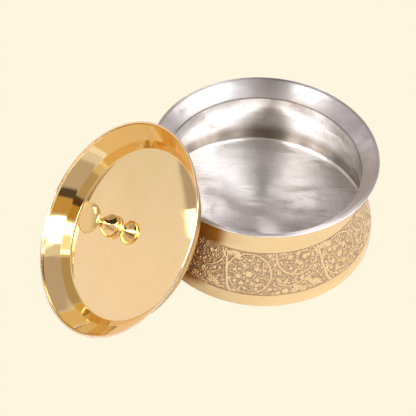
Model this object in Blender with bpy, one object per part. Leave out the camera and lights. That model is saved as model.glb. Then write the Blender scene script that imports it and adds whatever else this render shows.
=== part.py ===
"""Engraved brass serving bowl (handi) with a tinned inside, and its dished lid with a turned knob.

The bowl stands on the table at the origin.  The lid leans beside it, knob side up, standing on the
outside of its dish, and lifts off straight up.  Metres, +Z up, origin at the centre of the bowl's
foot.
Outlines are (radius, height) pairs in metres, turned about an upright axis.
"""
import math

import bmesh
import bpy
from mathutils import Matrix, Vector

# ---- driving dimensions --------------------------------------------------------------------
MM = 0.001
GAP = 0.3 * MM                  # air left between pieces that touch

RIM_RADIUS = 100.0 * MM         # bowl, outer edge of the mouth
BOWL_HEIGHT = 86.9 * MM
NECK_RADIUS = 88.3 * MM         # outside of the narrow neck
NECK_TOP = 72.8 * MM            # height where the mouth starts to flare
NECK_BOTTOM = 61.9 * MM         # height where the body starts to swell
BODY_RADIUS = 104.6 * MM        # widest place, just above the foot
FOOT_EDGE = 2.0 * MM            # edge radius of the foot, so also the height of the widest place
BRASS_WALL = 1.4 * MM
TIN_WALL = 0.4 * MM
LIP_THICKNESS = 1.1 * MM
LIP_WIDTH = 2.2 * MM
FLOOR_HEIGHT = 5.4 * MM         # inside floor, above the table
FLOOR_CORNER = 2.0 * MM         # radius where the wall meets the floor

LID_RADIUS = 92.5 * MM
LID_SHEET = 1.1 * MM
LID_BEAD_RADIUS = 0.9 * MM      # rolled edge
CREASE_RADIUS = 80.4 * MM
CREASE_DEPTH = 12.5 * MM        # below the rolled edge
DISC_RADIUS = 74.8 * MM
DISC_DEPTH = 20.6 * MM          # at its centre
DISC_RISE = 1.1 * MM            # from its centre to its edge
LID_LEAN = math.radians(46.2)   # between the lid and the table
LID_TURN = math.radians(209.0)  # direction that the knob leans towards
LID_CENTRE_X = -118.5 * MM
LID_CENTRE_Y = -89.6 * MM
TABLE_GAP = 0.15 * MM

SCREW_RADIUS = 2.0 * MM
SCREW_REACH = 5.6 * MM          # thread inside the knob
HEAD_RADIUS = 3.8 * MM
HEAD_HEIGHT = 2.2 * MM
SLOT_WIDTH = 1.0 * MM
SLOT_DEPTH = 1.0 * MM
WASHER_RADIUS = 5.0 * MM
WASHER_HEIGHT = 0.8 * MM

BOWL_SEGMENTS = 60
LID_SEGMENTS = 60
KNOB_SEGMENTS = 30
SCREW_SEGMENTS = 20
CORNER_STEPS = 3
COVE_STEPS = 4


# ---- scene, materials and turning ----------------------------------------------------------
def clear_scene():
    for scene_object in list(bpy.data.objects):
        bpy.data.objects.remove(scene_object, do_unlink=True)


def metal(name, colour, roughness):
    material = bpy.data.materials.new(name)
    material.use_nodes = True
    shader = material.node_tree.nodes["Principled BSDF"]
    shader.inputs["Base Color"].default_value = (*colour, 1.0)
    shader.inputs["Metallic"].default_value = 1.0
    shader.inputs["Roughness"].default_value = roughness
    return material


def smoothstep(t):
    t = min(max(t, 0.0), 1.0)
    return t * t * (3.0 - 2.0 * t)


def arc(centre, radius, start, end, steps=CORNER_STEPS):
    """Points on a circle in the (radius, height) plane, angles in degrees from outwards."""
    points = []
    for step in range(steps + 1):
        angle = math.radians(start + (end - start) * step / steps)
        points.append((centre[0] + radius * math.cos(angle), centre[1] + radius * math.sin(angle)))
    return points


def through(knots, steps):
    """Smooth curve through the knots (Catmull-Rom), with its ends included."""
    padded = [knots[0], *knots, knots[-1]]
    points = [Vector(knots[0])]
    for p0, p1, p2, p3 in zip(padded, padded[1:], padded[2:], padded[3:]):
        p0, p1, p2, p3 = Vector(p0), Vector(p1), Vector(p2), Vector(p3)
        for step in range(1, steps + 1):
            t = step / steps
            point = 2.0 * p1 + (p2 - p0) * t + (2.0 * p0 - 5.0 * p1 + 4.0 * p2 - p3) * t ** 2
            point += (3.0 * p1 - p0 - 3.0 * p2 + p3) * t ** 3
            points.append(point * 0.5)
    return [tuple(point) for point in points]


def turned(name, outline, segments, material, parent=None):
    """Spin a closed (radius, height) outline about Z into one closed body."""
    mesh_data = bpy.data.meshes.new(name)
    builder = bmesh.new()
    vertices = [builder.verts.new((radius, 0.0, height)) for radius, height in outline]
    edges = [builder.edges.new(pair) for pair in zip(vertices, vertices[1:])]
    if min(radius for radius, _ in outline) > 1e-6:
        edges.append(builder.edges.new((vertices[-1], vertices[0])))
    bmesh.ops.spin(builder, geom=vertices + edges, cent=(0, 0, 0), axis=(0, 0, 1),
                   angle=2.0 * math.pi, steps=segments, use_merge=True)
    bmesh.ops.remove_doubles(builder, verts=builder.verts, dist=1e-6)
    bmesh.ops.recalc_face_normals(builder, faces=builder.faces)
    builder.to_mesh(mesh_data)
    builder.free()
    mesh_data.shade_smooth()
    mesh_data.set_sharp_from_angle(angle=math.radians(35.0))
    mesh_data.materials.append(material)
    piece = bpy.data.objects.new(name, mesh_data)
    bpy.context.scene.collection.objects.link(piece)
    piece.parent = parent
    return piece


# ---- the bowl ------------------------------------------------------------------------------
def body_radius(height):
    """Outside radius of the body: an S from the straight neck to the wide foot."""
    swell = smoothstep((NECK_BOTTOM - height) / (NECK_BOTTOM - FOOT_EDGE))
    return NECK_RADIUS + (BODY_RADIUS - NECK_RADIUS) * swell


def mouth_radius(height):
    """Outside radius of the flared mouth, upright at the neck and open at the rim."""
    rise = (height - NECK_TOP) / (BOWL_HEIGHT - LIP_THICKNESS - NECK_TOP)
    return NECK_RADIUS + (RIM_RADIUS - LIP_WIDTH - NECK_RADIUS) * max(rise, 0.0) ** 1.35


def wall(inset, top, bottom):
    """Side of the bowl at a depth inside its outer face, from the mouth down to the foot."""
    heights = []
    mouth_steps, neck_steps, body_steps = 4, 1, 8
    for step in range(mouth_steps):
        heights.append(top + (NECK_TOP - top) * step / mouth_steps)
    for step in range(neck_steps):
        heights.append(NECK_TOP + (NECK_BOTTOM - NECK_TOP) * step / neck_steps)
    for step in range(body_steps + 1):
        heights.append(NECK_BOTTOM + (bottom - NECK_BOTTOM) * step / body_steps)
    points = []
    for height in heights:
        radius = mouth_radius(height) if height > NECK_TOP else body_radius(height)
        points.append((radius - inset, height))
    return points


def inner_outline(inset, top, floor):
    """The wall, a rounded corner and the floor at a depth inside the outer face."""
    corner_height = floor + FLOOR_CORNER
    corner_radius = body_radius(corner_height) - inset
    centre = (corner_radius - FLOOR_CORNER, corner_height)
    return wall(inset, top, corner_height)[:-1] + arc(centre, FLOOR_CORNER, 0, -90) + [(0.0, floor)]


def make_bowl_body(material):
    lip_underside = BOWL_HEIGHT - LIP_THICKNESS
    brass_top = lip_underside - GAP
    outside = wall(0.0, brass_top, FOOT_EDGE)
    foot_edge = arc((BODY_RADIUS - FOOT_EDGE, FOOT_EDGE), FOOT_EDGE, 0, -90)
    floor = FLOOR_HEIGHT - TIN_WALL - GAP
    inside = inner_outline(BRASS_WALL, brass_top, floor)
    outline = list(reversed(inside)) + outside + foot_edge[1:] + [(0.0, 0.0)]
    return turned("bowl_body", outline, BOWL_SEGMENTS, material)


def make_tin_lining(material):
    """The tinned skin: floor, wall, and the lip that wraps the rim."""
    back = BRASS_WALL + GAP
    face = back + TIN_WALL
    lip_underside = BOWL_HEIGHT - LIP_THICKNESS
    lip_radius = LIP_THICKNESS / 2.0
    lip_edge = arc((RIM_RADIUS - lip_radius, BOWL_HEIGHT - lip_radius), lip_radius, 90, -90)
    inside = inner_outline(face, BOWL_HEIGHT - TIN_WALL, FLOOR_HEIGHT)
    behind = inner_outline(back, lip_underside, FLOOR_HEIGHT - TIN_WALL)
    mouth_edge = (inside[0][0] + TIN_WALL, BOWL_HEIGHT)
    outline = list(reversed(inside)) + [mouth_edge] + lip_edge + behind
    return turned("tin_lining", outline, BOWL_SEGMENTS, material)


# ---- the lid, in its own upright frame: origin at the centre of the rolled edge ------------
def dish_face():
    """Knob side of the dish: shallow disc, hollow cove up to the crease, and flared wall."""
    wall_top = (LID_RADIUS - 2.0 * LID_BEAD_RADIUS, -LID_BEAD_RADIUS)
    edge_depth = DISC_DEPTH - DISC_RISE
    points = [(SCREW_RADIUS + GAP, -DISC_DEPTH), (DISC_RADIUS / 2.0, -DISC_DEPTH + DISC_RISE / 4.0)]
    for step in range(COVE_STEPS + 1):
        angle = math.pi / 2.0 * step / COVE_STEPS
        points.append((DISC_RADIUS + (CREASE_RADIUS - DISC_RADIUS) * math.sin(angle),
                       -CREASE_DEPTH - (edge_depth - CREASE_DEPTH) * math.cos(angle)))
    return [*points, wall_top]


def dish_underside():
    """The dish's face moved out by the sheet's thickness, with mitred corners."""
    face = [Vector(point) for point in dish_face()]
    normals = []
    for start, end in zip(face, face[1:]):
        along = (end - start).normalized()
        normals.append(Vector((along.y, -along.x)))
    moved = [face[0] + normals[0] * LID_SHEET]
    for point, before, after in zip(face[1:], normals, normals[1:]):
        mitre = (before + after).normalized()
        moved.append(point + mitre * (LID_SHEET / mitre.dot(after)))
    moved.append(face[-1] + normals[-1] * LID_SHEET)
    return [tuple(point) for point in moved]


def make_lid_dish(material, parent):
    bead = arc((LID_RADIUS - LID_BEAD_RADIUS, 0.0), LID_BEAD_RADIUS, 200, -60, 8)
    outline = dish_face() + bead + list(reversed(dish_underside()))
    return turned("lid_dish", outline, LID_SEGMENTS, material, parent)


def make_knob(material, parent):
    """Turned baluster: spreading foot, bead with a collar ring, neck and mushroom top."""
    foot_base = -DISC_DEPTH + GAP
    bore = SCREW_RADIUS + GAP
    bore_top = foot_base + SCREW_REACH + GAP
    foot = through([(9.8 * MM, foot_base), (10.5 * MM, -18.2 * MM), (9.5 * MM, -15.7 * MM),
                    (6.2 * MM, -12.4 * MM), (3.6 * MM, -9.9 * MM), (2.8 * MM, -7.6 * MM),
                    (4.6 * MM, -4.6 * MM), (8.8 * MM, -2.2 * MM)], 2)
    ring = arc((8.9 * MM, -1.1 * MM), 1.1 * MM, -90, 90, 4)[1:]
    bead = through([(8.6 * MM, 0.7 * MM), (9.7 * MM, 2.6 * MM), (9.5 * MM, 5.4 * MM),
                    (6.9 * MM, 9.6 * MM), (4.2 * MM, 13.4 * MM), (3.3 * MM, 16.6 * MM),
                    (4.4 * MM, 20.4 * MM), (8.4 * MM, 24.2 * MM), (12.0 * MM, 26.8 * MM)], 2)
    cap = [*arc((11.3 * MM, 28.3 * MM), 1.4 * MM, -30, 90, 4), (6.0 * MM, 30.1 * MM), (0.0, 30.3 * MM)]
    socket = [(0.0, bore_top), (bore, bore_top), (bore, foot_base)]
    return turned("lid_knob", socket + foot + ring + bead + cap, KNOB_SEGMENTS, material, parent)


def make_knob_washer(material, parent):
    top = -DISC_DEPTH - LID_SHEET - GAP
    hole = SCREW_RADIUS + GAP
    outline = [(hole, top), (WASHER_RADIUS, top), (WASHER_RADIUS, top - WASHER_HEIGHT),
               (hole, top - WASHER_HEIGHT)]
    return turned("knob_washer", outline, SCREW_SEGMENTS, material, parent)


def make_knob_screw(material, parent):
    """Slotted pan-head screw that comes up through the lid into the knob."""
    head_top = -DISC_DEPTH - LID_SHEET - WASHER_HEIGHT - 2.0 * GAP
    tip = -DISC_DEPTH + GAP + SCREW_REACH
    head_bottom = head_top - HEAD_HEIGHT
    edge = 0.8 * MM
    outline = [(0.0, tip), (SCREW_RADIUS - 0.4 * MM, tip), (SCREW_RADIUS, tip - 0.4 * MM),
               (SCREW_RADIUS, head_top), (HEAD_RADIUS, head_top),
               *arc((HEAD_RADIUS - edge, head_bottom + edge), edge, 0, -90, 3), (0.0, head_bottom)]
    screw = turned("knob_screw", outline, SCREW_SEGMENTS, material, parent)
    bpy.ops.mesh.primitive_cube_add(size=1.0)
    cutter = bpy.context.object
    cutter.name = "slot_cutter"
    cutter.data.transform(Matrix.Diagonal((HEAD_RADIUS * 3.0, SLOT_WIDTH, SLOT_DEPTH * 2.0, 1.0)))
    cutter.location = (0.0, 0.0, head_bottom)
    cutter.parent = parent
    cutter.hide_render = True
    cutter.display_type = "WIRE"
    slot = screw.modifiers.new("slot", "BOOLEAN")
    slot.operation = "DIFFERENCE"
    slot.solver = "EXACT"
    slot.object = cutter
    return screw


def lid_height():
    """Height of the lid's centre that puts its lowest point just above the table."""
    bead_reach = (LID_RADIUS - LID_BEAD_RADIUS) * math.sin(LID_LEAN) + LID_BEAD_RADIUS
    sheet_reach = max(radius * math.sin(LID_LEAN) - height * math.cos(LID_LEAN)
                      for radius, height in dish_underside())
    return max(bead_reach, sheet_reach) + TABLE_GAP


def place_lid():
    """Empty at the centre of the lid's rolled edge, with its +Z along the knob."""
    frame = bpy.data.objects.new("lid_place", None)
    bpy.context.scene.collection.objects.link(frame)
    turn = Matrix.Rotation(LID_TURN, 4, "Z") @ Matrix.Rotation(LID_LEAN, 4, "Y")
    centre = Matrix.Translation((LID_CENTRE_X, LID_CENTRE_Y, lid_height()))
    frame.matrix_world = centre @ turn
    return frame


def main():
    clear_scene()
    brass = metal("polished_brass", (0.83, 0.58, 0.24), 0.16)
    tin = metal("tin", (0.72, 0.69, 0.67), 0.32)
    steel = metal("steel", (0.62, 0.61, 0.60), 0.3)
    make_bowl_body(brass)
    make_tin_lining(tin)
    lid_place = place_lid()
    make_lid_dish(brass, lid_place)
    make_knob(brass, lid_place)
    make_knob_washer(brass, lid_place)
    make_knob_screw(steel, lid_place)


main()
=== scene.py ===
"""Finished look of an engraved brass serving bowl with a tinned inside and its dished brass lid.

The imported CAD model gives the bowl's overall size and the lid's place.  The turned pieces are made
again here with fine, rounded outlines, and the band round the bowl is cut as real relief: scrolling
stems, flowers, fans and buds stand up from a sunk, stippled and darkened ground.  Outlines are
(radius, height) pairs about a piece's own axis.  Metres, +Z up.
"""
import math
import random

import bpy
import numpy as np
from mathutils import Matrix, Vector


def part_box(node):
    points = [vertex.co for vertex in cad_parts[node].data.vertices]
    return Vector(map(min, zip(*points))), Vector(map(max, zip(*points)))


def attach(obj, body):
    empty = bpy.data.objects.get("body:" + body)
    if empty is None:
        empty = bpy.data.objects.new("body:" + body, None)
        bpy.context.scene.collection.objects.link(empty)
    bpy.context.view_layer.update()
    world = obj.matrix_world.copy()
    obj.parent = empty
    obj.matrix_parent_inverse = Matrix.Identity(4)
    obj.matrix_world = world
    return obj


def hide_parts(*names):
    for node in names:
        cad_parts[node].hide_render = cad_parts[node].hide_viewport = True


MM = 0.001

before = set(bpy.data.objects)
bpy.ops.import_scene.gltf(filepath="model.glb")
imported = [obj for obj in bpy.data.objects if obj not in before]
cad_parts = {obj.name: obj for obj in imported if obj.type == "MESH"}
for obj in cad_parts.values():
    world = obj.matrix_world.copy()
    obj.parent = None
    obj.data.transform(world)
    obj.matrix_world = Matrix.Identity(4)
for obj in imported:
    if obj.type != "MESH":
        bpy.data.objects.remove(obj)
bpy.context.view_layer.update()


# ---- driving dimensions; the bowl's overall ones come from the frame ----
def greatest_radius(node, lowest):
    """Distance from the bowl's axis to the farthest of a CAD node's corners above a height."""
    corners = [vertex.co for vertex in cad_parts[node].data.vertices]
    return max(math.hypot(corner.x, corner.y) for corner in corners if corner.z > lowest)


BOWL_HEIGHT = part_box("tin_lining")[1].z
BRASS_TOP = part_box("bowl_body")[1].z
RIM_RADIUS = greatest_radius("tin_lining", BOWL_HEIGHT / 2.0)
BODY_RADIUS = greatest_radius("bowl_body", 0.0)

NECK_RADIUS = 88.3 * MM
NECK_TOP = 72.8 * MM
NECK_BOTTOM = 61.9 * MM
FLARE_POWER = 1.35              # the mouth flares more towards its rim
FOOT_EDGE = 2.0 * MM
BRASS_WALL = 1.4 * MM
TIN_WALL = 0.4 * MM
LIP_THICKNESS = 1.1 * MM
LIP_WIDTH = 2.2 * MM
FLOOR_HEIGHT = 5.4 * MM
FLOOR_CORNER = 2.6 * MM

BAND_TOP = 53.7 * MM            # height of the engraved band's upper edge
BAND_BOTTOM = 13.7 * MM
BAND_DEPTH = 0.42 * MM          # how far the ground is sunk
BAND_COLUMNS = 1536
BAND_ROWS = 100

LID_SHEET = 1.1 * MM
BEAD_RADIUS = 0.9 * MM
LID_RADIUS = 92.5 * MM
CREASE_RADIUS = 80.4 * MM
CREASE_DEPTH = 12.5 * MM
DISC_RADIUS = 74.8 * MM
DISC_DEPTH = 20.6 * MM
DISC_RISE = 1.1 * MM            # from the centre of the disc to its edge
BORE_RADIUS = 2.3 * MM          # hole for the screw
WALL_TOP = (LID_RADIUS - 2.0 * BEAD_RADIUS, -BEAD_RADIUS)
WALL_HOLLOW = 0.18 * MM         # how far the lid's wall sags between its ends
SAG_DIRECTION = (0.82, -0.57)   # outwards and down
WASHER_RADIUS = 5.0 * MM
WASHER_HEIGHT = 0.8 * MM
BROKEN_EDGE = 0.12 * MM
CAD_GAP = 0.3 * MM              # air between pieces, as in the CAD model

HOLD = 0.4                      # from an arc to the point that keeps the flat beside it flat, in radii

PLAIN_SEGMENTS = 256
LID_SEGMENTS = 288
KNOB_SEGMENTS = 128
WASHER_SEGMENTS = 64


# ---- outlines --------------------------------------------------------
def smoothstep(t):
    t = min(max(t, 0.0), 1.0)
    return t * t * (3.0 - 2.0 * t)


def in_metres(*points):
    return [(radius * MM, height * MM) for radius, height in points]


def arc(centre, radius, start, end, steps):
    """Points on a circle, angles in degrees from outwards."""
    points = []
    for step in range(steps + 1):
        angle = math.radians(start + (end - start) * step / steps)
        points.append((centre[0] + radius * math.cos(angle), centre[1] + radius * math.sin(angle)))
    return points


def through(knots, steps):
    """Smooth curve through the knots (Catmull-Rom), with its ends included."""
    padded = [Vector(knot) for knot in (knots[0], *knots, knots[-1])]
    points = [padded[0]]
    for p0, p1, p2, p3 in zip(padded, padded[1:], padded[2:], padded[3:]):
        for step in range(1, steps + 1):
            t = step / steps
            point = 2.0 * p1 + (p2 - p0) * t + (2.0 * p0 - 5.0 * p1 + 4.0 * p2 - p3) * t ** 2
            point += (3.0 * p1 - p0 - 3.0 * p2 + p3) * t ** 3
            points.append(point * 0.5)
    return [tuple(point) for point in points]


def rounded(corners, radii, steps=8):
    """A polyline with each inner corner rounded.  Two points beside each arc hold the flats flat."""
    points = [tuple(corners[0])]
    for before, corner, after, radius in zip(corners, corners[1:], corners[2:], radii):
        before, corner, after = Vector(before), Vector(corner), Vector(after)
        back, forth = (before - corner).normalized(), (after - corner).normalized()
        half_angle = back.angle(forth) / 2.0
        reach = radius / math.tan(half_angle)
        centre = corner + (back + forth).normalized() * (radius / math.sin(half_angle))
        start, end = corner + back * reach, corner + forth * reach
        first = math.atan2(*reversed(start - centre))
        last = math.atan2(*reversed(end - centre))
        sweep = (last - first + math.pi) % math.tau - math.pi
        points.append(tuple(start + back * radius * HOLD))
        for step in range(steps + 1):
            angle = first + sweep * step / steps
            points.append((centre.x + radius * math.cos(angle), centre.y + radius * math.sin(angle)))
        points.append(tuple(end + forth * radius * HOLD))
    points.append(tuple(corners[-1]))
    return points


def body_radius(height):
    """Outside radius of the bowl's body: an S from the straight neck to the wide foot."""
    swell = smoothstep((NECK_BOTTOM - height) / (NECK_BOTTOM - FOOT_EDGE))
    return NECK_RADIUS + (BODY_RADIUS - NECK_RADIUS) * swell


def bowl_radius(height):
    """Outside radius of the whole bowl, flared mouth included."""
    if height <= NECK_TOP:
        return body_radius(height)
    rise = (height - NECK_TOP) / (BOWL_HEIGHT - LIP_THICKNESS - NECK_TOP)
    return NECK_RADIUS + (RIM_RADIUS - LIP_WIDTH - NECK_RADIUS) * rise ** FLARE_POWER


def wall(inset, top, bottom, steps):
    """Side of the bowl at a depth inside its outer face, from top down to bottom."""
    points = []
    for step in range(steps + 1):
        height = top + (bottom - top) * step / steps
        points.append((bowl_radius(height) - inset, height))
    return points


def inner_outline(inset, top, floor, steps):
    """The wall, a rounded corner and the floor at a depth inside the outer face."""
    corner_height = floor + FLOOR_CORNER
    corner_radius = body_radius(corner_height) - inset
    centre = (corner_radius - FLOOR_CORNER, corner_height)
    floor_edge = centre[0] - HOLD * FLOOR_CORNER
    side = wall(inset, top, corner_height, steps)
    return side[:-1] + arc(centre, FLOOR_CORNER, 0, -90, 8) + [(floor_edge, floor), (0.0, floor)]


# ---- skinning rings of points into one closed mesh -------------------
class Turning:
    """Collects rings of points about Z and joins each to the next."""

    def __init__(self):
        self.points = []
        self.faces = []
        self.relief = []
        self.count = 0
        self.rings = []

    def ring(self, radius, height, segments, relief=None):
        """Add a ring; radius and height are numbers or one value for each point."""
        if np.ndim(radius) == 0 and radius < 1e-7:
            segments = 1
        angle = np.arange(segments) * (math.tau / segments)
        heights = np.broadcast_to(height, angle.shape)
        self.points.append(np.column_stack([radius * np.cos(angle), radius * np.sin(angle), heights]))
        self.relief.append(np.ones(segments) if relief is None else relief)
        self.rings.append(np.arange(segments) + self.count)
        self.count += segments

    def outline(self, points, segments, relief=None):
        for radius, height in points:
            self.ring(radius, height, segments, relief)

    def join(self, upper, lower):
        """Faces from one ring to the next, which may be finer, coarser or a single point."""
        if len(upper) > len(lower):
            self.faces += [face[::-1] for face in self.strip(lower, upper)]
        else:
            self.faces += self.strip(upper, lower)

    @staticmethod
    def strip(coarse, fine):
        segments = len(fine)
        if len(coarse) == 1:
            return [[coarse[0], fine[i], fine[(i + 1) % segments]] for i in range(segments)]
        if len(coarse) == segments:
            stack = [coarse, fine, np.roll(fine, -1), np.roll(coarse, -1)]
            return np.column_stack(stack).tolist()
        ratio = segments // len(coarse)
        faces = []
        for i, start in enumerate(coarse):
            row = [fine[(i * ratio + k) % segments] for k in range(ratio + 1)]
            faces.append([start, *row, coarse[(i + 1) % len(coarse)]])
        return faces

    def mesh(self, name, place, closed=False, crisp=True):
        """The finished mesh in its place, with its turning coordinates kept as attributes."""
        pairs = list(zip(self.rings, self.rings[1:]))
        if closed:
            pairs.append((self.rings[-1], self.rings[0]))
        for upper, lower in pairs:
            self.join(upper, lower)
        local = np.concatenate(self.points)
        turn = np.array(place.to_3x3())
        world = local @ turn.T + np.array(place.translation)
        data = bpy.data.meshes.new(name)
        data.from_pydata(world.tolist(), [], self.faces)
        grain = np.column_stack([-local[:, 1], local[:, 0], np.zeros(len(local))])
        grain /= np.maximum(np.linalg.norm(grain, axis=1, keepdims=True), 1e-9)
        store(data, "lathe", "FLOAT_VECTOR", local)
        store(data, "grain", "FLOAT_VECTOR", grain @ turn.T)
        store(data, "relief", "FLOAT", np.concatenate(self.relief))
        data.shade_smooth()
        if crisp:
            data.set_sharp_from_angle(angle=math.radians(35.0))
        if volume(data) < 0.0:
            data.flip_normals()
        return data


def store(data, name, kind, values):
    """Keep one value or vector for each vertex under a name that a material can read."""
    attribute = data.attributes.new(name, kind, "POINT")
    field = "vector" if kind == "FLOAT_VECTOR" else "value"
    attribute.data.foreach_set(field, np.asarray(values, dtype=np.float32).ravel())


def volume(data):
    """Signed volume of a closed mesh."""
    data.calc_loop_triangles()
    corners = np.empty(len(data.loop_triangles) * 3, dtype=np.int32)
    data.loop_triangles.foreach_get("vertices", corners)
    points = np.empty(len(data.vertices) * 3, dtype=np.float32)
    data.vertices.foreach_get("co", points)
    a, b, c = points.reshape(-1, 3)[corners.reshape(-1, 3)].transpose(1, 0, 2).astype(float)
    return np.einsum("ij,ij->i", a, np.cross(b, c)).sum() / 6.0


def new_object(name, data):
    made = bpy.data.objects.new(name, data)
    bpy.context.scene.collection.objects.link(made)
    return made


def add_piece(name, data, material, body, node):
    """Put a finished mesh in the scene in the place of its CAD node."""
    data.materials.append(material)
    piece = new_object(name, data)
    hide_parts(node)
    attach(piece, body)
    return piece


def turned(name, outline, segments, place, closed=False):
    turning = Turning()
    turning.outline(outline, segments)
    return turning.mesh(name, place, closed)


# ---- the engraved band -----------------------------------------------
class Relief:
    """Height map of the band, wrapped round the bowl: 1 on the raised work, 0 on the sunk ground.

    Places are (s, t) in millimetres, s round the bowl and t up the band.
    """

    EDGE = 0.45                 # width of the sloping edge of the raised work

    def __init__(self, length, height, columns, rows):
        self.length, self.height = length, height
        self.columns, self.rows = columns, rows
        self.step_s, self.step_t = length / columns, height / (rows - 1)
        self.map = np.zeros((rows, columns))

    def stamp(self, s, t, reach, distance):
        """Raise the map where distance(ds, dt), measured outwards from a shape's edge, is negative."""
        first, last = (s - reach) / self.step_s, (s + reach) / self.step_s
        columns = np.arange(math.floor(first), math.ceil(last) + 1)
        rows = np.arange(max(0, math.floor((t - reach) / self.step_t)),
                         min(self.rows, math.ceil((t + reach) / self.step_t) + 1))
        if len(rows) == 0:
            return
        ds, dt = np.meshgrid(columns * self.step_s - s, rows * self.step_t - t)
        patch = np.clip(0.5 - distance(ds, dt) / self.EDGE, 0.0, 1.0)
        window = np.ix_(rows, columns % self.columns)
        self.map[window] = np.maximum(self.map[window], patch)

    def height_at(self, s, t):
        row = min(max(round(t / self.step_t), 0), self.rows - 1)
        return self.map[row, round(s / self.step_s) % self.columns]

    def dot(self, s, t, radius):
        self.stamp(s, t, radius + 1.0, lambda ds, dt: np.hypot(ds, dt) - radius)

    def oval(self, s, t, turn, length, width):
        """An oval about (s, t) with its long axis at an angle.  Length and width are half axes."""
        cos, sin = math.cos(turn), math.sin(turn)

        def distance(ds, dt):
            along, across = ds * cos + dt * sin, dt * cos - ds * sin
            return (np.hypot(along / length, across / width) - 1.0) * min(length, width)

        self.stamp(s, t, max(length, width) + 1.0, distance)

    def stroke(self, points, start_width, end_width):
        """A line through the points that tapers from one width to the other."""
        count = len(points) - 1
        for i, ((s0, t0), (s1, t1)) in enumerate(zip(points, points[1:])):
            half = (start_width + (end_width - start_width) * i / count) / 2.0
            middle = ((s0 + s1) / 2.0, (t0 + t1) / 2.0)
            vector = ((s1 - s0) / 2.0, (t1 - t0) / 2.0)
            square = max(vector[0] ** 2 + vector[1] ** 2, 1e-9)

            def distance(ds, dt):
                along = np.clip((ds * vector[0] + dt * vector[1]) / square, -1.0, 1.0)
                return np.hypot(ds - along * vector[0], dt - along * vector[1]) - half

            self.stamp(*middle, math.sqrt(square) + half + 1.0, distance)

    def flower(self, s, t, radius, petals, turn):
        """Round petals about a small centre."""
        for petal in range(petals):
            angle = turn + petal * math.tau / petals
            reach = radius * 0.62
            self.oval(s + reach * math.cos(angle), t + reach * math.sin(angle), angle,
                      radius * 0.42, radius * 0.36)
        self.dot(s, t, radius * 0.24)

    def leaf(self, s, t, turn, length, width):
        """A pointed leaf from its base at (s, t), with a vein cut down its middle."""
        cos, sin = math.cos(turn), math.sin(turn)

        def distance(ds, dt):
            ds, dt = ds + cos * length / 2.0, dt + sin * length / 2.0
            along, across = ds * cos + dt * sin, np.abs(dt * cos - ds * sin)
            ratio = np.clip(along / length, 0.0, 1.0)
            edge = across - width * np.sin(math.pi * ratio ** 0.8) * 0.5
            vein = 0.16 - across
            return np.maximum(np.maximum(edge, -along), np.maximum(along - length, vein))

        self.stamp(s + cos * length / 2.0, t + sin * length / 2.0, length, distance)

    def fan(self, s, t, turn, radius, spread=2.2):
        """A shell: petals spread from a small arc."""
        petals = 7
        for petal in range(petals):
            angle = turn + spread * (petal / (petals - 1) - 0.5)
            reach = radius * 0.72
            self.oval(s + reach * math.cos(angle), t + reach * math.sin(angle), angle,
                      radius * 0.27, radius * 0.115)
        bow = [(s + radius * 0.36 * math.cos(turn + spread * (i / 8.0 - 0.5)),
                t + radius * 0.36 * math.sin(turn + spread * (i / 8.0 - 0.5))) for i in range(9)]
        self.stroke(bow, 0.9, 0.9)

    def tendril(self, s, t, heading, length, curl, bud):
        """A stem that curls tighter towards its end, where it carries a bud."""
        points = [(s, t)]
        steps = 14
        for step in range(steps):
            heading += curl * (0.4 + 1.2 * step / steps) / steps
            s += math.cos(heading) * length / steps
            t += math.sin(heading) * length / steps
            points.append((s, t))
        self.stroke(points, 0.95, 0.6)
        self.oval(s, t, heading, bud * 1.15, bud * 0.85)

    def scroll(self, s, t, radius, start, sweep, shrink=0.0):
        """Part of a circle or, with shrink, of an inward spiral.  Angles in radians."""
        width = 1.35
        steps = max(8, round(abs(sweep) * radius / 1.2))
        points = []
        for step in range(steps + 1):
            part = step / steps
            angle = start + sweep * part
            reach = radius * (1.0 - shrink * part ** 2)
            points.append((s + reach * math.cos(angle), t + reach * math.sin(angle)))
        self.stroke(points, width, width * 0.8)
        return points[-1]

    def stipple(self, generator, pitch, radius, level):
        """Small punched-up dots over the bare ground."""
        cells_s, cells_t = round(self.length / pitch), round(self.height / pitch)
        jitter = generator.random((2, cells_t + 2, cells_s)) * 0.8 + 0.1
        size = generator.random((cells_t + 2, cells_s)) * 0.35 + 0.75
        s = np.arange(self.columns) * self.step_s / self.length * cells_s
        t = np.arange(self.rows) * self.step_t / self.height * cells_t + 1.0
        grid_s, grid_t = np.meshgrid(s, t)
        dots = np.zeros_like(self.map)
        for shift_s in (-1, 0, 1):
            for shift_t in (-1, 0, 1):
                cell_s = np.floor(grid_s).astype(int) + shift_s
                cell_t = np.clip(np.floor(grid_t).astype(int) + shift_t, 0, cells_t + 1)
                index = (cell_t, cell_s % cells_s)
                away = np.hypot(grid_s - cell_s - jitter[0][index], grid_t - cell_t - jitter[1][index])
                edge = (radius * size[index] - away * pitch) / 0.3 + 0.5
                dots = np.maximum(dots, np.clip(edge, 0.0, 1.0))
        self.map = np.maximum(self.map, dots * level)


SCROLLS = 7                     # repeats round the bowl
SCROLL_RADIUS = 19.6            # millimetres, as is everything in the band's pattern
PATTERN_TURN = math.radians(267.5)
FULL_TURN = 6.3                 # radians, rounded up
EIGHTH_TURN = 0.785


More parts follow.
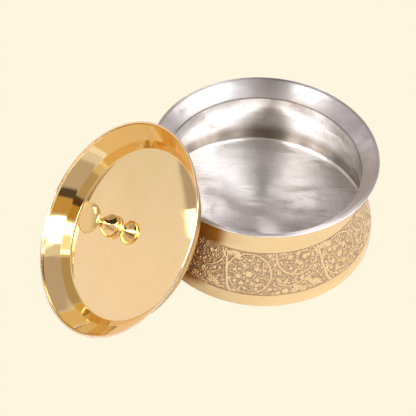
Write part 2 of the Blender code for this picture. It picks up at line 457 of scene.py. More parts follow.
def draw_low_scroll(relief, s, chance):
    """A full circle that a stem feeds from below, with tendrils and flowers inside."""
    t, radius = 20.6, SCROLL_RADIUS
    fork = (s - radius - 0.6, t + 3.5)
    stem = through([(s - 13.0, 0.0), (s - 16.6, 6.0), (s - 18.3, 14.0), fork], 6)
    relief.stroke(stem, 2.0, 1.7)
    relief.stroke(through([fork, (s - 21.0, 30.0), (s - 25.5, 38.0), (s - 27.5, 42.0)], 6), 1.5, 1.2)
    relief.stroke(through([(s - 20.5, 28.5), (s - 20.8, 34.0), (s - 22.5, 40.5)], 6), 1.2, 1.0)
    end = relief.scroll(s, t, radius, math.radians(172.0), math.radians(-330.0), shrink=0.1)
    relief.oval(*end, math.radians(40.0), 1.8, 1.1)
    relief.fan(s - 15.5, t + 12.5, math.radians(74.0), 9.0)
    for angle, curl, length in ((160.0, -2.6, 10.0), (205.0, -3.0, 9.5), (250.0, -2.9, 9.0),
                                (318.0, 2.8, 11.0), (30.0, 3.1, 10.0), (84.0, -2.4, 8.5)):
        turn = math.radians(angle)
        base = (s + radius * 0.99 * math.cos(turn), t + radius * 0.99 * math.sin(turn))
        heading = turn + math.pi - math.copysign(0.75, curl)
        relief.tendril(*base, heading, length, curl, 1.45)
    for distance, angle, petals in ((0.0, 0.0, 6), (9.0, 120.0, 4), (9.3, 200.0, 5), (9.5, 290.0, 4),
                                    (8.6, 40.0, 5)):
        turn = math.radians(angle)
        relief.flower(s + distance * math.cos(turn), t + distance * math.sin(turn),
                      3.1 if distance == 0.0 else 2.5, petals, chance.uniform(0.0, FULL_TURN))


def draw_high_scroll(relief, s, chance):
    """A half circle that hangs from the upper edge, with leaves and flowers below it."""
    t, radius = 38.2, SCROLL_RADIUS
    relief.scroll(s, t, radius, math.radians(166.0), math.radians(218.0))
    relief.tendril(s + radius * 0.96, t - 4.0, math.radians(120.0), 11.0, 2.4, 1.5)
    relief.tendril(s - radius * 0.72, t - 12.3, math.radians(62.0), 11.0, -3.0, 1.5)
    relief.tendril(s + 2.0, t - radius, math.radians(75.0), 9.0, 3.0, 1.4)
    for ds, dt, petals in ((-7.0, -2.0, 5), (-1.0, -7.0, 4), (6.5, -4.0, 5), (0.5, 0.5, 4)):
        relief.flower(s + ds, t + dt, 2.5, petals, chance.uniform(0.0, FULL_TURN))
    relief.stroke(through([(s - 18.0, 12.0), (s - 9.0, 8.5), (s + 1.0, 11.0), (s + 14.0, 15.5)], 6),
                  1.3, 0.9)
    for ds, dt, angle in ((-13.0, 10.5, 60.0), (-4.5, 9.0, -55.0), (2.0, 11.5, 75.0), (7.0, 13.0, -50.0)):
        relief.leaf(s + ds, dt, math.radians(angle), 7.0, 3.2)
    relief.leaf(s - 15.0, 12.5, math.radians(128.0), 7.5, 3.0)
    relief.fan(s - 1.0, 0.8, math.radians(90.0), 7.6, spread=2.6)
    relief.fan(s + 13.5, 3.0, math.radians(64.0), 7.2)
    relief.flower(s - 12.0, 4.2, 2.6, 5, chance.uniform(0.0, FULL_TURN))


def scatter_buds(relief, chance, tries):
    """Small flowers, buds and seeds wherever the ground is still bare."""
    margin = 1.6
    for _ in range(tries):
        s, t = chance.uniform(0.0, relief.length), chance.uniform(margin, relief.height - margin)
        room = chance.choice((2.6, 2.1, 1.5, 1.2, 0.85))
        ring = [(s + room * math.cos(k * EIGHTH_TURN), t + room * math.sin(k * EIGHTH_TURN))
                for k in range(8)]
        if any(relief.height_at(*place) > 0.1 for place in [(s, t), *ring]):
            continue
        turn = chance.uniform(0.0, FULL_TURN)
        if room > 2.0:
            relief.flower(s, t, room - 0.5, chance.choice((3, 4, 5)), turn)
        elif room > 1.3:
            relief.tendril(s, t, turn, 3.4, chance.choice((-2.5, 2.5)), 0.9)
        else:
            relief.dot(s, t, room - 0.3)


def make_relief():
    """The whole band's height map: the pattern, stippled ground and a raised line at each edge."""
    middle = body_radius((BAND_TOP + BAND_BOTTOM) / 2.0)
    run = math.hypot(BAND_TOP - BAND_BOTTOM, body_radius(BAND_BOTTOM) - body_radius(BAND_TOP))
    relief = Relief(math.tau * middle / MM, run / MM, BAND_COLUMNS, BAND_ROWS)
    chance = random.Random(7)
    pitch = relief.length / SCROLLS
    offset = PATTERN_TURN / math.tau * relief.length
    for repeat in range(SCROLLS):
        draw_low_scroll(relief, offset + pitch * repeat, chance)
        draw_high_scroll(relief, offset + pitch * (repeat + 0.5), chance)
    scatter_buds(relief, chance, 16000)
    relief.stipple(np.random.default_rng(11), pitch=1.05, radius=0.36, level=0.8)
    row = np.arange(BAND_ROWS)
    to_edge = np.minimum(row, BAND_ROWS - 1 - row)[:, None] * relief.step_t
    border_width, border_line = 0.5, 0.3
    border = np.clip(1.0 - to_edge / border_line, 0.0, 1.0)
    return np.where(to_edge < border_width, border, relief.map)


# ---- the bowl --------------------------------------------------------
def add_band(turning, relief):
    """The band's rings, sunk along the wall's normal wherever the pattern isn't raised."""
    step = 0.1 * MM
    for row in range(BAND_ROWS - 1, -1, -1):
        height = BAND_BOTTOM + (BAND_TOP - BAND_BOTTOM) * row / (BAND_ROWS - 1)
        lean = (body_radius(height + step) - body_radius(height - step)) / (2.0 * step)
        length = math.hypot(1.0, lean)
        sunk = BAND_DEPTH * (1.0 - relief[row])
        turning.ring(body_radius(height) - sunk / length, height + sunk * lean / length,
                     BAND_COLUMNS, relief[row])


def make_bowl(material):
    turning = Turning()
    floor = FLOOR_HEIGHT - TIN_WALL - CAD_GAP
    inside = inner_outline(BRASS_WALL, BRASS_TOP, floor, 40)
    turning.outline(reversed(inside), PLAIN_SEGMENTS)
    turning.outline(wall(0.0, BRASS_TOP, NECK_TOP, 16), PLAIN_SEGMENTS)
    turning.outline(wall(0.0, NECK_TOP, BAND_TOP, 14)[1:-1], PLAIN_SEGMENTS)
    add_band(turning, make_relief())
    turning.outline(wall(0.0, BAND_BOTTOM, FOOT_EDGE, 14)[1:], PLAIN_SEGMENTS)
    foot = arc((BODY_RADIUS - FOOT_EDGE, FOOT_EDGE), FOOT_EDGE, 0, -90, 10)
    foot += [(BODY_RADIUS - 1.5 * FOOT_EDGE, 0.0), (0.0, 0.0)]
    turning.outline(foot[1:], PLAIN_SEGMENTS)
    data = turning.mesh("bowl", Matrix.Identity(4), crisp=False)
    add_piece("bowl", data, material, "bowl", "bowl_body")


def make_tin(material):
    """The tinned inside, with the lip that wraps the rim."""
    back = BRASS_WALL + CAD_GAP
    face = back + TIN_WALL
    lip_radius = LIP_THICKNESS / 2.0
    lip = arc((RIM_RADIUS - lip_radius, BOWL_HEIGHT - lip_radius), lip_radius, 90, -90, 16)
    inside = inner_outline(face, BOWL_HEIGHT - TIN_WALL, FLOOR_HEIGHT, 72)
    shoulder = arc((inside[0][0] + TIN_WALL, BOWL_HEIGHT - TIN_WALL), TIN_WALL, 180, 90, 6)
    behind = inner_outline(back, BOWL_HEIGHT - LIP_THICKNESS, FLOOR_HEIGHT - TIN_WALL, 40)
    outline = list(reversed(inside)) + shoulder[1:] + lip + behind
    data = turned("tin_inside", outline, PLAIN_SEGMENTS, Matrix.Identity(4))
    add_piece("tin_inside", data, material, "bowl", "tin_lining")


# ---- the lid ---------------------------------------------------------
def lid_frame():
    """Matrix of the lid: origin at the centre of the rolled edge, +Z towards the knob."""
    points = np.array([vertex.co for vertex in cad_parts["lid_dish"].data.vertices])
    centre = points.mean(axis=0)
    _, directions = np.linalg.eigh(np.cov((points - centre).T))
    axis = directions[:, 0] * math.copysign(1.0, directions[2, 0])
    top = ((points - centre) @ axis).max()
    origin = centre + axis * (top - BEAD_RADIUS)
    place = Vector(axis).to_track_quat("Z", "Y").to_matrix().to_4x4()
    place.translation = Vector(origin)
    return place


def dish_face():
    """Knob side of the dish: shallow disc, sloping ring, crease and slightly hollow wall."""
    disc = []
    for step in range(17):
        reach = BORE_RADIUS + (DISC_RADIUS - BORE_RADIUS) * step / 17.0
        disc.append((reach, -DISC_DEPTH + DISC_RISE * (reach / DISC_RADIUS) ** 2))
    edge = (DISC_RADIUS, -DISC_DEPTH + DISC_RISE)
    ring = rounded([disc[-1], edge, (CREASE_RADIUS, -CREASE_DEPTH), WALL_TOP], (1.0 * MM, 0.7 * MM))
    foot = ring[-2]
    side = []
    for step in range(1, 13):
        part = step / 12.0
        sag = WALL_HOLLOW * 4.0 * part * (1.0 - part)
        side.append((foot[0] + (WALL_TOP[0] - foot[0]) * part + sag * SAG_DIRECTION[0],
                     foot[1] + (WALL_TOP[1] - foot[1]) * part + sag * SAG_DIRECTION[1]))
    return disc[:-1] + ring[:-1] + side


def dish_back():
    """The underside, which runs deeper behind the ring than the sheet is thick."""
    edge_depth = DISC_DEPTH - DISC_RISE
    face = [(BORE_RADIUS, -DISC_DEPTH), (DISC_RADIUS / 2.0, -DISC_DEPTH + DISC_RISE / 4.0)]
    for step in range(13):
        angle = math.pi / 2.0 * step / 12
        face.append((DISC_RADIUS + (CREASE_RADIUS - DISC_RADIUS) * math.sin(angle),
                     -CREASE_DEPTH - (edge_depth - CREASE_DEPTH) * math.cos(angle)))
    return offset_outline([*face, WALL_TOP], LID_SHEET)


def offset_outline(points, distance):
    """The points moved to the right of their path, along the mean of the normals beside each."""
    points = [Vector(point) for point in points]
    normals = []
    for start, end in zip(points, points[1:]):
        along = (end - start).normalized()
        normals.append(Vector((along.y, -along.x)))
    moved = []
    for point, before, after in zip(points, [normals[0], *normals], [*normals, normals[-1]]):
        mitre = (before + after).normalized()
        moved.append(tuple(point + mitre * (distance / mitre.dot(after))))
    return moved


def make_lid(place, material):
    """The dish with its rolled edge.  Its relief is 1 on the knob's side and 0 on the underside."""
    face = dish_face()
    bead = arc((LID_RADIUS - BEAD_RADIUS, 0.0), BEAD_RADIUS, 200, -60, 26)
    turning = Turning()
    turning.outline(face + bead, LID_SEGMENTS)
    turning.outline(reversed(dish_back()), LID_SEGMENTS, np.zeros(LID_SEGMENTS))
    data = turning.mesh("lid", place, closed=True)
    add_piece("lid", data, material, "lid", "lid_dish")


def make_knob(place, material):
    """Turned baluster: spreading foot, bead on a collar ring, neck and mushroom top.

    The lid's disc doesn't mirror it.
    """
    foot_base = -DISC_DEPTH + CAD_GAP
    bore_top = foot_base + 5.9 * MM
    foot = in_metres((10.5, -18.2), (9.5, -15.7), (6.2, -12.4), (3.6, -9.9), (2.8, -7.6), (4.6, -4.6),
                     (8.8, -2.2))
    foot = through([(9.8 * MM, foot_base), *foot], 9)
    ring = arc((8.9 * MM, -1.1 * MM), 1.1 * MM, -90, 90, 14)[1:]
    bead = through(in_metres((8.6, 0.7), (9.7, 2.6), (9.5, 5.4), (6.9, 9.6), (4.2, 13.4), (3.3, 16.6),
                             (4.4, 20.4), (8.4, 24.2), (12.0, 26.8)), 9)
    cap = arc((11.3 * MM, 28.3 * MM), 1.4 * MM, -30, 80, 12)
    cap += through(in_metres((9.4, 30.0), (6.0, 30.15), (0.0, 30.3)), 4)
    socket = [(0.0, bore_top), (BORE_RADIUS, bore_top), (BORE_RADIUS, foot_base),
              (BORE_RADIUS + 0.4 * MM, foot_base), (9.2 * MM, foot_base)]
    data = turned("knob", socket + foot + ring + bead + cap, KNOB_SEGMENTS, place)
    knob = add_piece("knob", data, material, "lid", "lid_knob")
    knob.visible_glossy = False


def make_washer(place, material):
    """A flat ring with broken edges.  Its outline starts and ends inside its hole."""
    top = -DISC_DEPTH - LID_SHEET - CAD_GAP
    bottom = top - WASHER_HEIGHT
    outline = rounded([(BORE_RADIUS, top - 0.5 * WASHER_HEIGHT), (BORE_RADIUS, top),
                       (WASHER_RADIUS, top), (WASHER_RADIUS, bottom), (BORE_RADIUS, bottom),
                       (BORE_RADIUS, bottom + 0.375 * WASHER_HEIGHT)], (BROKEN_EDGE,) * 4, 3)
    data = turned("washer", outline, WASHER_SEGMENTS, place, closed=True)
    add_piece("washer", data, material, "lid", "knob_washer")


def make_screw(material):
    """The CAD screw with its edges broken."""
    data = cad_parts["knob_screw"].data.copy()
    data.materials.clear()
    data.shade_smooth()
    data.set_sharp_from_angle(angle=math.radians(30.0))
    screw = add_piece("screw", data, material, "lid", "knob_screw")
    bevel = screw.modifiers.new("broken_edges", "BEVEL")
    bevel.width = BROKEN_EDGE
    bevel.segments = 2


# ---- materials -------------------------------------------------------
def new_material(name, metallic=1.0):
    """A plain material, its node tree and its Principled shader."""
    material = bpy.data.materials.new(name)
    material.use_nodes = True
    tree = material.node_tree
    shader = tree.nodes["Principled BSDF"]
    shader.inputs["Metallic"].default_value = metallic
    return material, tree, shader


def put(tree, socket, value):
    """Set an input to a value, or link it to the socket that feeds it."""
    if isinstance(value, bpy.types.NodeSocket):
        tree.links.new(value, socket)
    else:
        socket.default_value = value


def node(tree, kind, inputs=None, **settings):
    """Add a node; inputs are values or the sockets that feed them."""
    made = tree.nodes.new(kind)
    for name, value in settings.items():
        setattr(made, name, value)
    for name, value in (inputs or {}).items():
        put(tree, made.inputs[name], value)
    return made


def maths(tree, operation, *values):
    """A maths node's result; values are numbers or sockets."""
    return node(tree, "ShaderNodeMath", dict(enumerate(values)), operation=operation).outputs[0]


def product(tree, result, *others):
    """The values multiplied together: for soft-edged areas, where all of them overlap."""
    for other in others:
        result = maths(tree, "MULTIPLY", result, other)
    return result


def hypot(tree, x, y):
    """Distance of (x, y) from (0, 0)."""
    squares = [product(tree, value, value) for value in (x, y)]
    return maths(tree, "SQRT", maths(tree, "ADD", *squares))


def remap(tree, value, low, high, to_low=0.0, to_high=1.0):
    """Smooth step of a value from one range into another."""
    made = node(tree, "ShaderNodeMapRange", {"Value": value, "From Min": low, "From Max": high,
                                             "To Min": to_low, "To Max": to_high},
                interpolation_type="SMOOTHSTEP")
    return made.outputs["Result"]


def blend(tree, part, first, second):
    """Colour between two colours, each a tuple or a socket."""
    made = node(tree, "ShaderNodeMix", {0: part}, data_type="RGBA")
    for index, colour in ((6, first), (7, second)):
        put(tree, made.inputs[index], (*colour, 1.0) if isinstance(colour, tuple) else colour)
    return made.outputs[2]


def noise(tree, vector, scale, detail=2.0, roughness=0.5):
    made = node(tree, "ShaderNodeTexNoise", {"Vector": vector, "Scale": scale, "Detail": detail,
                                             "Roughness": roughness})
    return made.outputs["Fac"]


def wiped(tree, place, turn, scale, detail):
    """Noise drawn out into strokes across the bowl; scale is in strokes per metre along each axis."""
    drawn = node(tree, "ShaderNodeMapping", {0: place, "Rotation": (0.0, 0.0, turn), "Scale": scale})
    return noise(tree, drawn.outputs[0], 1.0, detail, 0.6)


class Lathe:
    """Turning coordinates of a piece inside a material, and the marks that turning leaves."""

    def __init__(self, tree):
        self.tree = tree
        self.place = node(tree, "ShaderNodeAttribute", attribute_name="lathe").outputs["Vector"]
        self.x, self.y, self.height = node(tree, "ShaderNodeSeparateXYZ", {0: self.place}).outputs
        self.radius = hypot(tree, self.x, self.y)

    def rings(self, scale, stretch, detail=3.0):
        """Noise drawn out along the direction of turning; scale is in bands per metre."""
        angle = maths(self.tree, "ABSOLUTE", maths(self.tree, "ARCTAN2", self.y, self.x))
        parts = ((self.radius, scale), (self.height, scale), (angle, stretch))
        scaled = [maths(self.tree, "MULTIPLY", *part) for part in parts]
        vector = node(self.tree, "ShaderNodeCombineXYZ", dict(enumerate(scaled))).outputs[0]
        return noise(self.tree, vector, 1.0, detail)

    def raised(self):
        """1 on raised work and on the lid's upper face, 0 on sunk ground and the lid's underside."""
        return node(self.tree, "ShaderNodeAttribute", attribute_name="relief").outputs["Fac"]

    def tangent(self):
        """Direction of turning, in the world."""
        grain = node(self.tree, "ShaderNodeAttribute", attribute_name="grain").outputs["Vector"]
        turned_grain = node(self.tree, "ShaderNodeVectorTransform", {0: grain}, vector_type="VECTOR",
                            convert_from="OBJECT", convert_to="WORLD")
        return turned_grain.outputs[0]

    def bump(self, height, strength, distance, before=None):
        inputs = {"Height": height, "Strength": strength, "Distance": distance}
        if before is not None:
            inputs["Normal"] = before
        return node(self.tree, "ShaderNodeBump", inputs).outputs[0]


def feed(tree, shader, **inputs):
    """Set or link the shader's inputs; underscores stand for spaces."""
    for name, value in inputs.items():
        put(tree, shader.inputs[name.replace("_", " ")], value)


BRASS = (0.90, 0.70, 0.36)
BRASS_DEEP = (0.84, 0.60, 0.26)
BRASS_RING_BOUNCE_AND_KNOB_TONE = (0.82, 0.54, 0.17)       # painted reflection of the lid's wall in its sloping ring; also the knob's deepest tone
BRASS_WEAR_AND_SHEEN = (0.92, 0.77, 0.54)         # on the lid's rolled edge: wear, with a painted pale sheen
BRASS_UNDERSIDE_SHADE = (0.66, 0.44, 0.17)         # painted shade under the lid
BRASS_GROUND = (0.40, 0.27, 0.18)       # sunk ground of the engraved band
TIN = (0.96, 0.95, 0.95)
TIN_MOTTLED = (0.84, 0.82, 0.81)
TIN_TURNED = (0.55, 0.51, 0.48)
TIN_WIPED = (0.70, 0.65, 0.62)
TIN_SCRATCHED = (0.50, 0.46, 0.44)
TIN_DULL = (0.74, 0.68, 0.62)
TIN_FOOT_SHADE = (0.30, 0.26, 0.215)          # painted shade: a dark band at the foot of the wall
TIN_MOUTH = (0.72, 0.69, 0.70)
TIN_CREASE_SHADE = (0.30, 0.26, 0.22)         # painted shade: dark line in the crease under the flared mouth
STEEL = (0.60, 0.60, 0.61)
STEEL_DARK = (0.46, 0.46, 0.48)


def polished_brass(name, tone=BRASS, deep=BRASS_DEEP, hollow=False, engraved=False):
    """Buffed brass: faint lathe lines, a cloudy tone and wiped smears.

    A hollow lid has a deeper gold on its sloping ring, a painted reflection of its own wall, wear and a
    painted pale sheen on its rolled edge, and painted shade underneath, where it is also rougher.
    Engraved work has a dark, rough ground.
    """
    material, tree, shader = new_material(name)
    lathe = Lathe(tree)
    cloud = noise(tree, lathe.place, 16.0, 3.0, 0.6)
    smear = noise(tree, lathe.place, 55.0, 4.0, 0.65)
    lines = lathe.rings(2600.0, 1.2)
    colour = blend(tree, remap(tree, cloud, 0.35, 0.75, 0.0, 0.3), tone, deep)
    rough = maths(tree, "ADD", remap(tree, smear, 0.45, 0.75, 0.025, 0.08),
                  remap(tree, lines, 0.4, 0.8, 0.0, 0.03))
    wave = noise(tree, lathe.place, 26.0, 1.0)
    normal = lathe.bump(lines, 0.02, 0.2 * MM, lathe.bump(wave, 0.15, 1.0 * MM))
    if hollow:
        # painted reflection: the sloping ring is a deeper gold, for the lid's own wall mirrored in it
        ring = product(tree,
                       remap(tree, lathe.radius, DISC_RADIUS - 0.6 * MM, DISC_RADIUS + 1.2 * MM),
                       remap(tree, lathe.radius, CREASE_RADIUS + 0.1 * MM, CREASE_RADIUS - 0.9 * MM),
                       remap(tree, lathe.height, -CREASE_DEPTH + 0.3 * MM, -CREASE_DEPTH - 0.5 * MM))
        colour = blend(tree, ring, colour, BRASS_RING_BOUNCE_AND_KNOB_TONE)
        # wear and painted sheen: the rolled edge is paler
        bead = remap(tree, lathe.height, -1.4 * MM, -0.6 * MM)
        colour = blend(tree, bead, colour, BRASS_WEAR_AND_SHEEN)
        # painted shade: the underside, where relief is 0, is darker as well as rougher
        upper = lathe.raised()
        colour = blend(tree, upper, BRASS_UNDERSIDE_SHADE, colour)
        rough = maths(tree, "ADD", rough, remap(tree, upper, 1.0, 0.0, 0.0, 0.30))
    if engraved:
        speck = noise(tree, lathe.place, 1400.0, 3.0, 0.7)
        bright = maths(tree, "ADD", lathe.raised(), product(tree, speck, 0.2))
        bright = remap(tree, bright, 0.2, 0.8)
        colour = blend(tree, bright, BRASS_GROUND, colour)
        rough = maths(tree, "ADD", rough, remap(tree, bright, 1.0, 0.0, 0.0, 0.42))
        normal = lathe.bump(speck, remap(tree, bright, 1.0, 0.0, 0.08, 0.5), 0.3 * MM, normal)
    feed(tree, shader, Base_Color=colour, Roughness=rough, Normal=normal)
    return material


def tin_colour(tree, lathe, mottle, arcs, wipe, scratch):
    """Pale tin, greyed where it is marked, with painted shade at the wall's foot and under the mouth."""
    patch = noise(tree, lathe.place, 15.0, 3.0, 0.55)
    colour = blend(tree, remap(tree, mottle, 0.35, 0.7), TIN, TIN_MOTTLED)
    marks = ((arcs, 0.5, 0.75, 0.35, TIN_TURNED), (wipe, 0.48, 0.68, 0.75, TIN_WIPED),
             (scratch, 0.55, 0.7, 0.5, TIN_SCRATCHED), (patch, 0.5, 0.8, 0.5, TIN_DULL))
    for mark, low, high, most, tone in marks:
        colour = blend(tree, remap(tree, mark, low, high, 0.0, most), colour, tone)
    above_floor = maths(tree, "SUBTRACT", lathe.height, FLOOR_HEIGHT)
    # painted shade: the wall darkens in a band above the floor, fading out upwards
    foot = product(tree, remap(tree, above_floor, 1.0 * MM, 3.0 * MM),
                   remap(tree, above_floor, 34.0 * MM, 14.0 * MM, 0.0, 0.95))
    colour = blend(tree, foot, colour, TIN_FOOT_SHADE)
    above_neck = maths(tree, "SUBTRACT", lathe.height, NECK_TOP)
    mouth = remap(tree, above_neck, 0.0, 2.0 * MM, 0.0, 0.75)
    colour = blend(tree, mouth, colour, TIN_MOUTH)
    # painted shade: a dark line in the crease under the mouth
    crease = remap(tree, maths(tree, "ABSOLUTE", above_neck), 1.5 * MM, 0.3 * MM, 0.0, 0.75)
    return blend(tree, crease, colour, TIN_CREASE_SHADE)


def worked_tin():
    """Tin wiped on by hand over the turned inside: brushed round, smeared, dull in patches.

    The floor and the mouth are rougher than the wall.  The brushing fades out at the floor's centre.
    """
    material, tree, shader = new_material("worked_tin")
    lathe = Lathe(tree)
    mottle = noise(tree, lathe.place, 42.0, 5.0, 0.62)
    arcs = lathe.rings(420.0, 2.5, 5.0)
    wipe = wiped(tree, lathe.place, 0.6, (22.0, 75.0, 60.0), 5.0)
    scratch = wiped(tree, lathe.place, -0.5, (45.0, 520.0, 240.0), 4.0)
    floor = remap(tree, lathe.height, FLOOR_HEIGHT + 2.5 * MM, FLOOR_HEIGHT + 0.5 * MM, 0.12, 0.40)
    mouth = remap(tree, lathe.height, NECK_TOP - 2.0 * MM, NECK_TOP + 2.0 * MM, 0.0, 0.30)
    rough = maths(tree, "ADD", floor, mouth)
    marks = ((mottle, 0.3, 0.75, -0.03, 0.06), (arcs, 0.35, 0.75, -0.02, 0.05),
             (wipe, 0.35, 0.75, -0.06, 0.10), (scratch, 0.4, 0.7, -0.03, 0.07))
    for mark, low, high, least, most in marks:
        rough = maths(tree, "ADD", rough, remap(tree, mark, low, high, least, most))
    normal = lathe.bump(lathe.rings(1500.0, 2.0, 4.0), 0.08, 0.2 * MM)
    normal = lathe.bump(mottle, 0.04, 0.6 * MM, normal)
    normal = lathe.bump(wipe, 0.07, 0.8 * MM, normal)
    feed(tree, shader, Base_Color=tin_colour(tree, lathe, mottle, arcs, wipe, scratch), Roughness=rough,
         Normal=normal, Anisotropic=remap(tree, lathe.radius, 2.0 * MM, 32.0 * MM, 0.4, 0.94),
         Anisotropic_Rotation=0.25, Tangent=lathe.tangent())
    return material


def screw_steel():
    """Plain grey steel with fine specks."""
    material, tree, shader = new_material("screw_steel")
    place = node(tree, "ShaderNodeTexCoord").outputs["Object"]
    speck = noise(tree, place, 900.0, 3.0)
    feed(tree, shader, Base_Color=blend(tree, speck, STEEL, STEEL_DARK),
         Roughness=remap(tree, speck, 0.3, 0.8, 0.25, 0.42))
    return material


# ---- stage -----------------------------------------------------------
CREAM = (0.991, 0.922, 0.738)            # all that the camera sees beside the object
CAMERA_PLACE = Vector((0.0, -0.60908, 0.66513))
CAMERA_YAW = math.radians(-4.513)
CAMERA_PITCH = math.radians(47.136)
CAMERA_ROLL = math.radians(-1.859)
CAMERA_LENS = 83.08             # millimetres


def make_camera():
    """The camera looks along +Y, turned by its yaw, down by its pitch, then rolled."""
    data = bpy.data.cameras.new("camera")
    data.lens = CAMERA_LENS
    camera = new_object("camera", data)
    bpy.context.scene.camera = camera
    turn = Matrix.Rotation(-CAMERA_YAW, 4, "Z") @ Matrix.Rotation(math.pi / 2.0 - CAMERA_PITCH, 4, "X")
    roll = Matrix.Rotation(-CAMERA_ROLL, 4, "Z")
    camera.matrix_world = Matrix.Translation(CAMERA_PLACE) @ turn @ roll


def within(tree, angle, start, end, soft):
    """1 inside a span of angles, 0 outside it and between them in its soft edge, all in degrees."""
    away = maths(tree, "SUBTRACT", angle, (start + end) / 2.0)
    away = maths(tree, "ABSOLUTE", maths(tree, "WRAP", away, 180.0, -180.0))
    return remap(tree, away, (end - start + soft) / 2.0, (end - start - soft) / 2.0)


ROOM = (0.84, 0.79, 0.80)       # radiance between the panels
# Soft-edged parts of the room, later over earlier: azimuth span (0 away from the camera, 90 to its
# right), elevation span, width of the soft edge, all in degrees, and radiance.
PANELS = (
    ((-150.0, -30.0), (-10.0, 10.5), 3.0, (1.00, 0.90, 0.96)),  # pale wall on the left
    ((-135.0, -60.0), (20.0, 52.0), 8.0, (0.62, 0.56, 0.53)),   # brown board above it
    ((-20.0, 66.0), (34.0, 88.0), 6.0, (0.53, 0.45, 0.42)),     # grey card behind
    ((-50.0, -8.0), (12.0, 33.0), 5.0, (0.78, 0.57, 0.28)),     # amber light under it
    ((-11.0, 26.0), (-10.0, 34.0), 4.0, (0.40, 0.35, 0.32)),    # darker doorway below it
    ((74.0, 128.0), (23.0, 56.0), 4.0, (4.6, 4.5, 4.5)),        # soft light on the right
    ((82.0, 190.0), (57.5, 79.0), 3.0, (7.5, 7.4, 7.4)),        # broad light overhead
    ((104.0, 145.0), (67.5, 81.0), 2.0, (1.35, 1.4, 1.6)),      # dimmer patch in it
    ((-156.0, -109.0), (43.0, 64.0), 3.0, (7.5, 7.4, 7.4)),     # bright light on the left
    ((-112.0, -50.0), (70.0, 86.0), 6.0, (0.45, 0.40, 0.37)),   # dull ceiling on the left
    ((160.0, 215.0), (8.0, 34.0), 4.0, (0.56, 0.48, 0.45)),     # tripod and camera
    ((165.0, 209.0), (33.0, 42.0), 3.0, (0.10, 0.075, 0.06)),   # dark gap above them
    ((160.0, 200.0), (41.0, 55.0), 2.5, (0.58, 0.36, 0.12)),    # amber board over the camera
)


def make_world():
    """The room that the metal mirrors.  The camera itself sees plain cream."""
    world = bpy.data.worlds.new("studio")
    bpy.context.scene.world = world
    world.use_nodes = True
    tree = world.node_tree
    background = tree.nodes["Background"]
    direction = node(tree, "ShaderNodeTexCoord").outputs["Generated"]
    x, y, z = node(tree, "ShaderNodeSeparateXYZ", {0: direction}).outputs
    azimuth = product(tree, maths(tree, "ARCTAN2", x, y), 180.0 / math.pi)
    elevation = product(tree, maths(tree, "ARCSINE", z), 180.0 / math.pi)
    colour = ROOM
    for (left, right), (low, high), soft, radiance in PANELS:
        inside = product(tree, within(tree, azimuth, left, right, soft),
                         within(tree, elevation, low, high, soft))
        colour = blend(tree, inside, colour, radiance)
    seen = node(tree, "ShaderNodeLightPath").outputs["Is Camera Ray"]
    tree.links.new(blend(tree, seen, colour, CREAM), background.inputs["Color"])


FLOOR_SIZE = 30.0
FLOOR_DROP = 0.2 * MM           # keeps the floor clear of what stands on it
PAPER = (0.555, 0.54, 0.575)
AMBER_SHEET = (0.46, 0.36, 0.23)
# painted shadow of the lid on the table, seen only in the metal
LID_SHADOW_PAINT = (0.255, 0.12, 0.03)
SHEET_RIGHT = (-0.20, -0.22)    # soft sides of the sheet, from nothing to full
SHEET_LEFT = (-1.30, -1.20)
SHEET_FRONT = (-0.90, -0.85)
LID_SHADOW_CENTRE = (-0.115, -0.11)
LID_SHADOW_EDGE = (0.038, 0.068)     # radii where the painted shadow starts to fade and has faded out


def make_floor():
    """Plain cream to the camera.

    To the metal it is a pale table with an amber sheet to the left and a dark painted shadow under the
    lid.
    """
    bpy.ops.mesh.primitive_plane_add(size=FLOOR_SIZE, location=(0.0, 0.0, -FLOOR_DROP))
    floor = bpy.context.object
    floor.name = "floor"
    material, tree, plain = new_material("floor", metallic=0.0)
    place = node(tree, "ShaderNodeNewGeometry").outputs["Position"]
    x, y, _ = node(tree, "ShaderNodeSeparateXYZ", {0: place}).outputs
    sheet = product(tree, remap(tree, x, *SHEET_RIGHT), remap(tree, x, *SHEET_LEFT),
                    remap(tree, y, *SHEET_FRONT))
    paper = blend(tree, sheet, PAPER, AMBER_SHEET)
    # painted shadow: the table darkens round a point under the lid
    from_shadow_centre = [maths(tree, "SUBTRACT", *pair) for pair in zip((x, y), LID_SHADOW_CENTRE)]
    away = hypot(tree, *from_shadow_centre)
    paper = blend(tree, remap(tree, away, *LID_SHADOW_EDGE), LID_SHADOW_PAINT, paper)
    feed(tree, plain, Base_Color=paper, Roughness=0.9, Specular_IOR_Level=0.0)
    glow = node(tree, "ShaderNodeEmission", {"Color": (*CREAM, 1.0)})
    path = node(tree, "ShaderNodeLightPath")
    mix = node(tree, "ShaderNodeMixShader", {0: path.outputs["Is Camera Ray"], 1: plain.outputs[0],
                                             2: glow.outputs[0]})
    tree.links.new(mix.outputs[0], tree.nodes["Material Output"].inputs["Surface"])
    material.cycles.emission_sampling = "NONE"
    floor.data.materials.append(material)


def make_table_light():
    """Brightens the table alone; the metal doesn't mirror it."""
    data = bpy.data.lights.new("table_light", "SUN")
    data.energy = 0.55
    data.angle = math.radians(35.0)
    light = new_object("table_light", data)
    light.rotation_euler = (math.radians(28.0), math.radians(24.0), 0.0)
    light.visible_glossy = False


def add_glow(name, corners, radiance):
    """Put a flat glowing sheet in the scene that only the metal sees."""
    data = bpy.data.meshes.new(name)
    data.from_pydata(corners, [], [range(len(corners))])
    material, tree, _ = new_material(name)
    glow = node(tree, "ShaderNodeEmission", {"Color": (*radiance, 1.0)})
    tree.links.new(glow.outputs[0], tree.nodes["Material Output"].inputs["Surface"])
    material.cycles.emission_sampling = "NONE"      # a mirror image only, not a lamp
    data.materials.append(material)
    sheet = new_object(name, data)
    sheet.visible_camera = False
    sheet.visible_diffuse = False
    sheet.visible_shadow = False


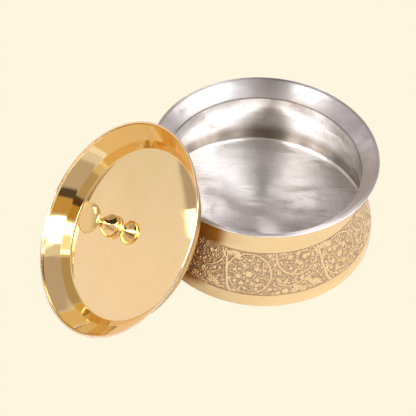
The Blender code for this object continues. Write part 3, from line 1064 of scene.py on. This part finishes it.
CARD_DISTANCE = 0.25            # from the lid's disc


def make_card(name, place, corners, radiance):
    """A glowing card that the lid's disc mirrors to the camera just where its corners are given.

    Corners are millimetres on the disc: up its slope, and to the left of that.
    """
    axis = place.to_3x3() @ Vector((0.0, 0.0, 1.0))
    up = (Vector((0.0, 0.0, 1.0)) - axis * axis.z).normalized()
    left = axis.cross(up)
    points = []
    for along, across in corners:
        offset = (up * along + left * across) * MM
        spot = place.translation - axis * DISC_DEPTH + offset
        slope = offset * (2.0 * DISC_RISE / DISC_RADIUS ** 2)
        normal = (axis - slope).normalized()
        sight = (spot - CAMERA_PLACE).normalized()
        points.append(spot + (sight - normal * 2.0 * sight.dot(normal)) * CARD_DISTANCE)
    add_glow(name, points, radiance)


HOOD_HEIGHT = 0.35
HOOD_OUTLINE = ((-0.045, 0.75), (0.045, 0.75), (0.045, 0.12), (0.07, 0.06), (0.07, -0.09),
                (0.035, -0.15), (0.01, -0.21), (-0.045, -0.21), (-0.07, -0.09), (-0.075, 0.06),
                (-0.055, 0.12))


def make_hood():
    """A dark hood over the bowl with a long strip behind it.  The tin mirrors both as a dark middle."""
    add_glow("hood", [(x, y, HOOD_HEIGHT) for x, y in HOOD_OUTLINE], (0.05, 0.04, 0.035))


lid_place = lid_frame()
make_bowl(polished_brass("engraved_brass", engraved=True))
make_tin(worked_tin())
make_lid(lid_place, polished_brass("lid_brass", hollow=True))
make_knob(lid_place, polished_brass("knob_brass", tone=BRASS_DEEP, deep=BRASS_RING_BOUNCE_AND_KNOB_TONE))
make_washer(lid_place, polished_brass("washer_brass"))
make_screw(screw_steel())
make_camera()
make_floor()
make_world()
make_table_light()
make_card("grey_card", lid_place, ((72.5, 18.0), (56.0, -27.5), (85.0, -52.0), (100.0, 8.0)),
          (0.50, 0.43, 0.42))
make_card("white_card", lid_place, ((56.0, -27.5), (46.5, -51.0), (72.0, -80.0), (85.0, -52.0)),
          (2.6, 2.6, 2.6))
make_hood()
bpy.context.scene.view_settings.view_transform = "Standard"
